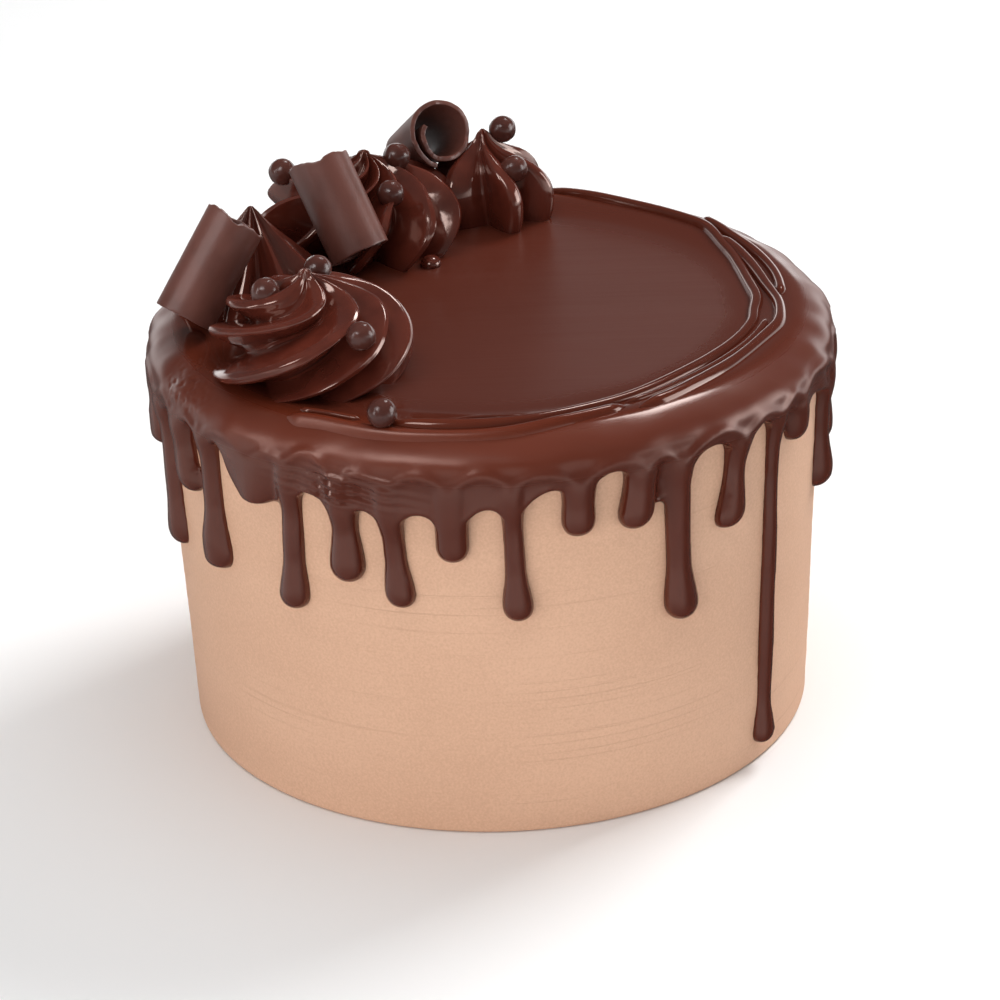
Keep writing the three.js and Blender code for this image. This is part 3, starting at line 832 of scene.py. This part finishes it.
def piped(name, at, section, fins, groove, sink, blade, lean=(0, 0), stretch=1, seed=0):
    """A tower shaped to a section of (radius, height, twist) with fins at (angle, share of the twist).

    Its grooves cut into the radius and sink below the crests. It leans, and stretch widens its left half.
    """
    piece = tower(len(fins))
    curve = rounded_curve(section, SECTION_ROUNDING)
    levels = evenly_divided(curve, lengths_along(curve[:, :2]), TOWER_LEVELS)
    peak = levels[-1][1]
    around_once = [*fins, (fins[0][0] + 360, fins[0][1])]
    for vertex in piece.data.vertices:
        radius, height, twist = levels[round(vertex.co.z)]
        place = math.degrees(math.atan2(vertex.co.y, vertex.co.x)) % 360 / 360 * len(fins)
        number = min(int(place), len(fins) - 1)
        share = place - number
        low, high = (angle + part * twist for angle, part in around_once[number:number + 2])
        angle = math.radians(lerp(low, high, share))
        hollow = groove_depth(share, blade)
        up = height / peak
        mark = noise.noise(Vector((BRUSHED_ACROSS * place, BRUSHED_UP * up, BRUSHED_SEEDS * seed)))
        brushed = BRUSHED * mark * min(1, radius / BRUSHED_FULL_RADIUS)
        away = radius * MM * (1 - groove * hollow) + brushed
        wide = stretch if math.cos(angle) < 0 else 1
        x = at[0] * MM + away * math.cos(angle) * wide + lean[0] * MM * up
        y = at[1] * MM + away * math.sin(angle) + lean[1] * MM * up
        z = POUR_TOP - CONTACT + height * MM * (1 - sink * hollow * (1 - up**4))
        vertex.co = (x, y, z)
    piece.name = name
    return piece


# %% [markdown]
# The two swirls share one dome and differ in how they wind. The left drop star is a plain cone, and the one
# at the back is a fat drop that leans. Radii and heights are in millimetres, twists and fins in degrees.

# %% Rosettes
DOME = [(23, -0.5), (25.6, 3.5), (26.9, 8), (26.3, 12), (23.9, 15.4), (20.8, 18), (17.6, 19.6), (14, 20.6),
        (10, 22), (6, 23.6), (3, 25), (1.6, 25.9), (1.7, 26.6), (0.5, 27.2)]
FRONT_TWIST = [-88, -52, -32, -14, 0, 17, 30, 40, 52, 60, 66, 70, 72, 75]
MIDDLE_TWIST = [-24, -18, -11, -4, 0, 5, 14, 24, 38, 52, 64, 70, 72, 75]
LEFT_SECTION = [(22.5, -0.5, -4), (20.6, 5, -2), (16.4, 10, 0), (11.4, 15, 2), (6.4, 20, 4), (3.2, 24, 6),
                (0.7, 27, 8)]
BACK_SECTION = [(15.4, -0.5, 0), (16.8, 3, 2), (17.4, 7, 4), (16.8, 11, 5), (14.6, 14.6, 3), (11.2, 17.3, -2),
                (7.4, 19.2, -8), (4.4, 20.8, -16), (2.4, 22.8, -26), (1.7, 24.2, -30), (0.5, 25.2, -34)]
FRONT_FINS = [(200, 1.9), (280, 1.25), (326, 1), (367, 0.9), (410, 0.9), (455, 0.9), (505, 1.3)]
MIDDLE_FINS = [(204, 1.4), (246, 1.2), (284, 1), (319, 1), (352, 1), (392, 1), (435, 1), (478, 1), (520, 1.2)]
LEFT_FINS = [(angle, 1) for angle in range(302, 302 + 360, 45)]
BACK_FINS = [(angle, 1) for angle in (218, 290, 342, 395, 450, 512)]


def dome(twists):
    return [(*row, twist) for row, twist in zip(DOME, twists)]


rosettes = {
    "rosette_front": piped(
        "front", (-45.4, -36.5), dome(FRONT_TWIST), FRONT_FINS, groove=0.4, sink=0.2, blade=0.35, seed=1),
    "rosette_middle": piped(
        "middle", (-32.4, 48), dome(MIDDLE_TWIST), MIDDLE_FINS, groove=0.45, sink=0.24, blade=0.8,
        stretch=1.14, seed=2),
    "rosette_left": piped(
        "left", (-61, 8.5), LEFT_SECTION, LEFT_FINS, groove=0.42, sink=0, blade=0.8, seed=3),
    "rosette_back": piped(
        "back", (2.7, 67), BACK_SECTION, BACK_FINS, groove=0.5, sink=0.05, blade=0.4, lean=(-3, 0), seed=4),
}
print("piped rosettes:", {name: triangles(piece) for name, piece in rosettes.items()})

# %% [markdown]
# The nozzle was set down at the left of the front swirl, where its fins end in cut tips. A straight cut
# through the mesh gives them. Beside the middle swirl the nozzle let a small blob fall, which is a squeezed
# ball.

# %% Cut end and fallen blob
CUT_AT = Vector((-70 * MM, -42.5 * MM, POUR_TOP))
CUT_FACING = Vector((-0.94, 0.34, 0))
BLOB_AT = Vector((-15.2 * MM, 31.0 * MM, POUR_TOP + 0.6 * MM))
BLOB_RADIUS = 2.4 * MM
BLOB_SHAPE = (1.15, 1.3, 0.85)

edit_all(rosettes["rosette_front"])
bpy.ops.mesh.bisect(plane_co=CUT_AT, plane_no=CUT_FACING, use_fill=True, clear_outer=True)
bpy.ops.object.mode_set(mode="OBJECT")

start_clean()
bpy.ops.mesh.primitive_ico_sphere_add(subdivisions=4, radius=BLOB_RADIUS, location=BLOB_AT)
bpy.ops.transform.resize(value=BLOB_SHAPE)
bpy.ops.object.transform_apply(location=True, rotation=True, scale=True)
rosettes["rosette_middle"] = joined([rosettes["rosette_middle"], named("blob")])
print("finished rosettes:", {name: triangles(piece) for name, piece in rosettes.items()})

# %% [markdown]
# ## Chocolate curls
# A curl is a thin sheet that rolled up as it was shaved off a block. A line along the axis is pulled round
# in small turns while it draws in towards the axis, which gives the spiral. A cylinder with a slit would be
# quicker, but its end would show no spiral. Its ends are made ragged, and the sheet gets its thickness and
# small bevels last, so that they follow the roll.

# %% Curls
CURL_SHEET = 1.3 * MM
CURL_BEVEL, CURL_BEVEL_FROM = 0.25 * MM, math.radians(50)
CURL_TURNS = 1.3
CURL_STEPS = 110
CURL_ROWS = 40
CURL_RAGGED = 1.1 * MM
CURL_RAGGED_ROUND, CURL_RAGGED_INWARD = 1.4, 60
CURL_RAGGED_FINE, CURL_RAGGED_FINER = 0.4, 4
CURL_RAGGED_FOOT = 0.15
CURLS = {
    "curl_left": dict(foot=(-78, -16, 116.3), head=(-64, -6, 138.4), radius=8.6, seam=200),
    "curl_middle": dict(foot=(-33, 19, 118.5), head=(-43.5, 29.5, 141), radius=9.1, seam=70),
    "curl_back": dict(foot=(-22.4, 83.4, 123), head=(-11.6, 63, 135.1), radius=9.4, seam=277, taper=0.4,
                      wind=-1, tight=0.6, pitch=5.2),
}


def ragged_end(place):
    """How far a shaved edge stands out at a place on the roll, about -1 to 1."""
    angle = math.atan2(place.y, place.x)
    ring = CURL_RAGGED_ROUND * Vector((math.cos(angle), math.sin(angle), 0))
    edge = ring + Vector((0, 0, CURL_RAGGED_INWARD * place.xy.length))
    return noise.noise(edge) + CURL_RAGGED_FINE * noise.noise(edge * CURL_RAGGED_FINER)


def rolled_sheet(length, radius, seam, taper=0, wind=1, tight=0.15, pitch=2.3):
    """A sheet rolled round Z, from its foot at the origin upwards, that draws in after its tight turns."""
    radius *= MM
    draw_line([(radius, 0, length * row / CURL_ROWS) for row in range(CURL_ROWS + 1)])
    bpy.ops.mesh.select_all(action="SELECT")
    turn_selected(math.radians(seam), "Z", (0, 0, 0))
    stations = []
    for turns in np.linspace(0, CURL_TURNS, CURL_STEPS):
        size = 1 - pitch * MM * max(0, turns - tight) / radius
        stations.append(((0, 0, 0), wind * 2 * math.pi * turns, (size, size, 1)))
    pull(stations)
    piece = named("curl")
    for vertex in piece.data.vertices:
        up = vertex.co.z / length
        vertex.co.z += CURL_RAGGED * ragged_end(vertex.co) * (up**4 - CURL_RAGGED_FOOT * (1 - up) ** 4)
        narrow = 1 - taper * (1 - up)
        vertex.co.x *= narrow
        vertex.co.y *= narrow
    return piece


def curl(name, foot, head, **roll):
    start, along = Vector(foot) * MM, (Vector(head) - Vector(foot)) * MM
    piece = rolled_sheet(along.length, **roll)
    applied(piece, "SOLIDIFY", thickness=CURL_SHEET, offset=roll.get("wind", 1))
    applied(piece, "BEVEL", width=CURL_BEVEL, segments=2, limit_method="ANGLE", angle_limit=CURL_BEVEL_FROM)
    turn = Vector((0, 0, 1)).rotation_difference(along.normalized())
    piece.matrix_world = Matrix.Translation(start) @ turn.to_matrix().to_4x4()
    pick(piece)
    bpy.ops.object.transform_apply(location=True, rotation=True, scale=True)
    edit_all(piece)
    bpy.ops.mesh.normals_make_consistent(inside=False)
    return named(name)


curls = {name: curl(name, **shape) for name, shape in CURLS.items()}
print("curls:", {name: triangles(piece) for name, piece in curls.items()})

# %% [markdown]
# ## Chocolate pearls
# Pearls are crisp balls in chocolate, round but never quite. Each is an icosphere, which has no poles that
# would show in its shine, and its points are pushed in and out by a slow noise of its own.

# %% Pearls
PEARL_RADIUS = 3.7 * MM
PEARL_UNEVEN = 0.14 * MM
PEARL_LUMPS = 1.6
PEARL_SEEDS = 9
PEARLS = [(-31.6, -54.9, 16.2), (-55.4, -37.6, 21.6), (-43.1, -19, 19.8), (-26.6, -76.2, 5),
          (-54.8, 51.7, 20.2), (-23.7, 51, 23.8), (-25.3, 33.8, 19.6), (8, 59.4, 16), (5.2, 69.6, 24)]


def pearl(number, x, y, height):
    start_clean()
    middle = Vector((x * MM, y * MM, POUR_TOP + height * MM))
    bpy.ops.mesh.primitive_ico_sphere_add(subdivisions=5, radius=PEARL_RADIUS, location=middle)
    bpy.ops.object.transform_apply(location=True)
    piece = named("pearl")
    for vertex in piece.data.vertices:
        out = (vertex.co - middle).normalized()
        lump = noise.noise(PEARL_LUMPS * out + Vector((0, 0, PEARL_SEEDS * number)))
        vertex.co += out * PEARL_UNEVEN * lump
    return piece


pearls = {f"pearl_{number}": pearl(number, *place) for number, place in enumerate(PEARLS, 1)}
print("pearls:", len(pearls))

# %% [markdown]
# ## Shader maths as expressions
# Finishes are worked out from the surface's own coordinates. One small class wraps a socket, so that sums
# and products of sockets read like arithmetic, and its node method adds any other node.

# %% Sockets as values
class Shade:
    """A socket of a finish. Arithmetic on it adds Math nodes, and node() adds any other node."""

    def __init__(self, socket):
        self.socket = socket
        self.tree = socket.id_data

    def node(self, kind, settings=None, sockets=None, output=0):
        made = self.tree.nodes.new(kind)
        for name, value in (settings or {}).items():
            if name == "stops":
                set_stops(made.color_ramp, value)
            else:
                setattr(made, name, value)
        for name, value in (sockets or {}).items():
            if isinstance(value, Shade):
                self.tree.links.new(value.socket, made.inputs[name])
            else:
                made.inputs[name].default_value = value
        return Shade(made.outputs[output])

    def maths(self, operation, *values):
        return self.node("ShaderNodeMath", {"operation": operation}, dict(enumerate(values)))

    def __add__(self, other):
        return self.maths("ADD", self, other)

    def __sub__(self, other):
        return self.maths("SUBTRACT", self, other)

    def __rsub__(self, other):
        return self.maths("SUBTRACT", other, self)

    def __mul__(self, other):
        return self.maths("MULTIPLY", self, other)

    __radd__ = __add__
    __rmul__ = __mul__

    def stretched(self, scale):
        """Coordinates with their own scale along each axis."""
        return self.node("ShaderNodeMapping", {}, {"Vector": self, "Scale": scale})

    def axis(self, letter):
        """One coordinate of a place or direction."""
        return self.node("ShaderNodeSeparateXYZ", {}, {"Vector": self}, letter)

    def noise(self, scale, detail=3):
        """Cloudy values from 0 to 1 on these coordinates."""
        return self.node("ShaderNodeTexNoise", {}, {"Vector": self, "Scale": scale, "Detail": detail})

    def ramp(self, low, high):
        """Values from low to high spread over 0 to 1, with soft ends."""
        sockets = {"Value": self, "From Min": low, "From Max": high}
        return self.node("ShaderNodeMapRange", {"interpolation_type": "SMOOTHSTEP"}, sockets)

    def mixed(self, first, second):
        """From the first colour to the second as this value goes from 0 to 1."""
        return self.node("ShaderNodeMix", {"data_type": "RGBA"}, {0: self, 6: first, 7: second}, 2)


# %% [markdown]
# Every finish here starts from the principled shader. What is the same all over is set on its sockets, and
# only what changes over the surface is linked to them.

# %% Starting a finish
def set_stops(ramp, stops):
    """Give a colour ramp its (place, colour) stops."""
    while len(ramp.elements) < len(stops):
        ramp.elements.new(1)
    for element, (place, colour) in zip(ramp.elements, stops):
        element.position = place
        element.color = colour


def new_finish(name, **constants):
    """A principled finish with constant values, its shader and the surface's own coordinates."""
    material = bpy.data.materials.new(name)
    material.use_nodes = True
    shader = material.node_tree.nodes["Principled BSDF"]
    for socket, value in constants.items():
        shader.inputs[socket.replace("_", " ")].default_value = value
    places = material.node_tree.nodes.new("ShaderNodeTexCoord")
    return material, shader, Shade(places.outputs["Object"])


def feed(shader, **values):
    """Link values that vary over the surface to the shader's sockets."""
    for socket, value in values.items():
        value.tree.links.new(value.socket, shader.inputs[socket.replace("_", " ")])


def bumped(height, distance):
    """A normal that follows a height from 0 to 1 over a distance in metres."""
    return height.node("ShaderNodeBump", {}, {"Height": height, "Distance": distance, "Strength": 1})


# %% [markdown]
# ## The buttercream's finish
# Buttercream is matt, with a fine grain of sugar and fat and level scratches where the scraper ran. Noise
# that is squeezed flat gives the scratches, and a second, slower noise lets them come and go in patches.

# %% Buttercream finish
CREAM_LIGHT = (0.76, 0.47, 0.318, 1)
CREAM_DARK = (0.66, 0.39, 0.256, 1)


def buttercream_finish():
    material, shader, place = new_finish("buttercream", Specular_IOR_Level=0.3)
    lines = place.stretched((6, 6, 1400)).noise(1, 2)
    patches = place.stretched((18, 18, 30)).noise(1, 2)
    grain = place.noise(1600)
    scratch = lines.ramp(0.62, 0.72) * patches.ramp(0.42, 0.6)
    tone = grain * 0.6 + patches * 0.4
    colour = tone.ramp(0.3, 0.68).mixed(CREAM_DARK, CREAM_LIGHT)
    feed(shader, Base_Color=(scratch * 0.5).mixed(colour, CREAM_DARK))
    feed(shader, Roughness=0.5 + grain * 0.2)
    feed(shader, Normal=bumped(grain * 0.4 - scratch * 0.6, 0.12 * MM))
    return material


# %% [markdown]
# ## The chocolate's finishes
# Chocolate shows its shine more than its colour. The coat is satin in the pool, where the spatula left faint
# strokes across, satin again over the rim, and glossy on the ridges and drips. It is redder where it lies
# thin over the rim. On the front and left of the rim, where the light falls, it is redder still, and that
# extra red is painted light. Piped chocolate is glossier, and curls and pearls have set dull. The coat's
# zones are worked out from the distance to the cake's axis and from the height, and the painted light also
# from the front and the side, so they need no mask painted in an image.

# %% Chocolate finishes
CHOCOLATE = (0.13, 0.0225, 0.009, 1)
CHOCOLATE_DEEP = (0.08, 0.0165, 0.009, 1)
PIPED = (0.112, 0.0228, 0.0135, 1)
PIPED_DEEP = (0.082, 0.0164, 0.01, 1)
# Painted reflection: this warm tint colours every reflection on the coat and the piped chocolate. It takes
# the place of the reflection of a gold board under the cake, which is not modelled.
PAINTED_WARM_REFLECTION = (1, 0.76, 0.68, 1)
CURL_BROWN = (0.145, 0.051, 0.038, 1)
CURL_BROWN_DEEP = (0.11, 0.039, 0.029, 1)
PEARL_BROWN = (0.085, 0.027, 0.02, 1)
PEARL_BROWN_DEEP = (0.065, 0.02, 0.015, 1)


def coat_finish():
    # The coat's reflections take the warm tint, a painted reflection.
    material, shader, place = new_finish("ganache", IOR=1.6, Specular_Tint=PAINTED_WARM_REFLECTION)
    strokes = place.stretched((14, 220, 60)).noise(1)
    clouds = place.noise(60)
    flat = place.node("ShaderNodeVectorMath", {"operation": "MULTIPLY"}, {0: place, 1: (1, 1, 0)})
    away = flat.node("ShaderNodeVectorMath", {"operation": "LENGTH"}, {0: flat}, "Value")
    side, front, up = (place.axis(letter) for letter in "XYZ")
    pool = 1 - away.ramp(58 * MM, 67 * MM)
    rim = away.ramp(80 * MM, 84 * MM) * up.ramp(94 * MM, 104 * MM)
    thin = away.ramp(74 * MM, 83 * MM) * up.ramp(99 * MM, 107 * MM)
    # Painted light: this mask makes the thin rim redder and lighter on the front and left, where the light
    # falls.
    painted_light_side = (1 - front.ramp(-75 * MM, -30 * MM)) * (1 - side.ramp(-10 * MM, 60 * MM))
    feed(shader, Base_Color=(thin * (0.3 + painted_light_side * 0.6) + clouds * 0.1).mixed(CHOCOLATE_DEEP, CHOCOLATE))
    feed(shader, Roughness=0.09 + clouds * 0.06 + rim * 0.22 + pool * (0.16 + strokes * 0.12))
    feed(shader, Normal=bumped(strokes * 0.6 * pool + clouds * 0.4, 0.1 * MM))
    return material


def piped_finish():
    # The piped chocolate's reflections take the warm tint, a painted reflection.
    material, shader, place = new_finish("piped_ganache", IOR=1.8, Specular_Tint=PAINTED_WARM_REFLECTION)
    clouds = place.noise(110)
    feed(shader, Base_Color=clouds.ramp(0.35, 0.65).mixed(PIPED_DEEP, PIPED))
    feed(shader, Roughness=0.08 + clouds * 0.08)
    feed(shader, Normal=bumped(clouds, 0.15 * MM))
    return material


def dull_finish(name, dark, light, roughness, grain_size):
    """Set chocolate: satin, with cloudy patches and a fine grain."""
    material, shader, place = new_finish(name, IOR=1.45)
    clouds = place.noise(90)
    grain = place.noise(grain_size, 2)
    feed(shader, Base_Color=clouds.ramp(0.35, 0.65).mixed(dark, light))
    feed(shader, Roughness=roughness + clouds * 0.12)
    feed(shader, Normal=bumped(grain * 0.5 + clouds * 0.5, 0.08 * MM))
    return material


# %% [markdown]
# ## Putting pieces in the frame
# Each piece rides on the cake's one body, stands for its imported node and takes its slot's finish. Faces
# that meet at a low angle are shaded smooth, and sharper edges stay sharp.

# %% Placing pieces
SHARP_FROM = math.radians(40)


def placed(piece, node, slot, finish):
    pick(piece)
    piece.name = piece.data.name = f"{node}_look"
    bpy.ops.object.shade_smooth_by_angle(angle=SHARP_FROM)
    piece.data.materials.clear()
    piece.data.materials.append(finish)
    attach(piece, "root")
    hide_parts(node)


placed(buttercream, "cake_body", "buttercream", buttercream_finish())
placed(coat, "ganache", "ganache", coat_finish())
piped_chocolate = piped_finish()
curl_chocolate = dull_finish("chocolate_curl", CURL_BROWN_DEEP, CURL_BROWN, 0.3, 900)
pearl_chocolate = dull_finish("chocolate_pearl", PEARL_BROWN_DEEP, PEARL_BROWN, 0.14, 2200)
for pieces, slot, finish in (
        (rosettes, "piped_ganache", piped_chocolate),
        (curls, "chocolate_curl", curl_chocolate),
        (pearls, "chocolate_pearl", pearl_chocolate)):
    for name, piece in pieces.items():
        placed(piece, name, slot, finish)
print("placed pieces:", 2 + len(rosettes) + len(curls) + len(pearls))

# %% [markdown]
# ## The floor
# The cake stands on a plain pale floor. It is much larger than the view, so that no edge of it shows.

# %% Floor
FLOOR_SIZE = 6
FLOOR_PALE = (0.9, 0.9, 0.9, 1)
FLOOR_PALER = (0.92, 0.92, 0.92, 1)

start_clean()
bpy.ops.mesh.primitive_plane_add(size=FLOOR_SIZE, location=(0, 0, 0))
floor = named("floor")
floor_finish, floor_shader, floor_place = new_finish("floor", Roughness=0.8, Specular_IOR_Level=0.1)
feed(floor_shader, Base_Color=floor_place.noise(3).mixed(FLOOR_PALE, FLOOR_PALER))
floor.data.materials.append(floor_finish)
print("floor:", FLOOR_SIZE, "m wide")

# %% [markdown]
# ## Light
# The photograph has soft studio light: a key light high on the right behind the cake, a wide fill in front
# and a large soft light above. Gloss mirrors all that is round it, so these broad lights are hidden from
# reflections. A small spark, a narrow strip and two windows are seen in reflections alone and draw the
# lines on the chocolate.

# %% Lights
CAKE_MIDDLE = Vector((0, 0, 0.08))


def soft_light(name, place, size, power):
    """A rectangular light that faces the cake."""
    start_clean()
    bpy.ops.object.light_add(type="AREA", location=place)
    light = bpy.context.object
    light.name = name
    light.data.shape = "RECTANGLE"
    light.data.size, light.data.size_y = size
    light.data.energy = power
    light.rotation_euler = (CAKE_MIDDLE - Vector(place)).to_track_quat("-Z", "Y").to_euler()
    return light


broad_lights = [
    soft_light("key", (0.75, 0.65, 0.95), (0.5, 0.5), 13),
    soft_light("fill", (-0.7, -1.15, 0.4), (1.2, 0.6), 8),
    soft_light("top", (0, 0, 1.7), (2, 2), 22),
]
shines = [
    soft_light("spark", (0.36, 0.74, 1.12), (0.22, 0.22), 2),
    soft_light("left_strip", (-1.1, -0.5, 0.6), (0.15, 0.9), 3.5),
    soft_light("left_window", (-0.5, -0.68, 1), (0.5, 0.4), 4.5),
    soft_light("right_window", (1.25, -0.05, 0.45), (0.6, 0.6), 6.5),
]
for shine in shines:
    shine.visible_diffuse = False
for hidden in (*broad_lights, floor):
    hidden.visible_glossy = False
print("lights:", len(broad_lights), "broad and", len(shines), "for reflections")

# %% [markdown]
# The sky is what the gloss mirrors where no light stands. Its grey changes with the height, with one set of
# greys before the cake and another behind it, where a bright wall at the horizon draws thin lines on the
# ridges and the fins.

# %% Sky
BEFORE = [(0, 0.2), (0.25, 0.6), (0.32, 0.9), (0.45, 0.9), (0.5, 0.4), (0.6, 0.2), (1, 0.12)]
BEHIND = [(0, 0.08), (0.42, 0.12), (0.47, 2), (0.56, 2), (0.6, 0.16), (0.73, 0.09), (0.85, 0.09), (1, 0.12)]


def greys(height, stops):
    """A grey for each height, through (height, brightness) stops."""
    colours = [(place, (value, value, value, 1)) for place, value in stops]
    return height.node("ShaderNodeValToRGB", {"stops": colours}, {"Fac": height})


world = bpy.data.worlds.new("studio")
world.use_nodes = True
direction = Shade(world.node_tree.nodes.new("ShaderNodeTexCoord").outputs["Generated"])
sky_height = direction.axis("Z") * 0.5 + 0.5
back = (direction.axis("Y") * 0.75 + direction.axis("X") * 0.65).ramp(-0.45, 0.35)
sky = back.mixed(greys(sky_height, BEFORE), greys(sky_height, BEHIND))
world.node_tree.links.new(sky.socket, world.node_tree.nodes["Background"].inputs["Color"])
bpy.context.scene.world = world
bpy.context.scene.view_settings.view_transform = "Standard"
print("sky nodes:", len(world.node_tree.nodes))
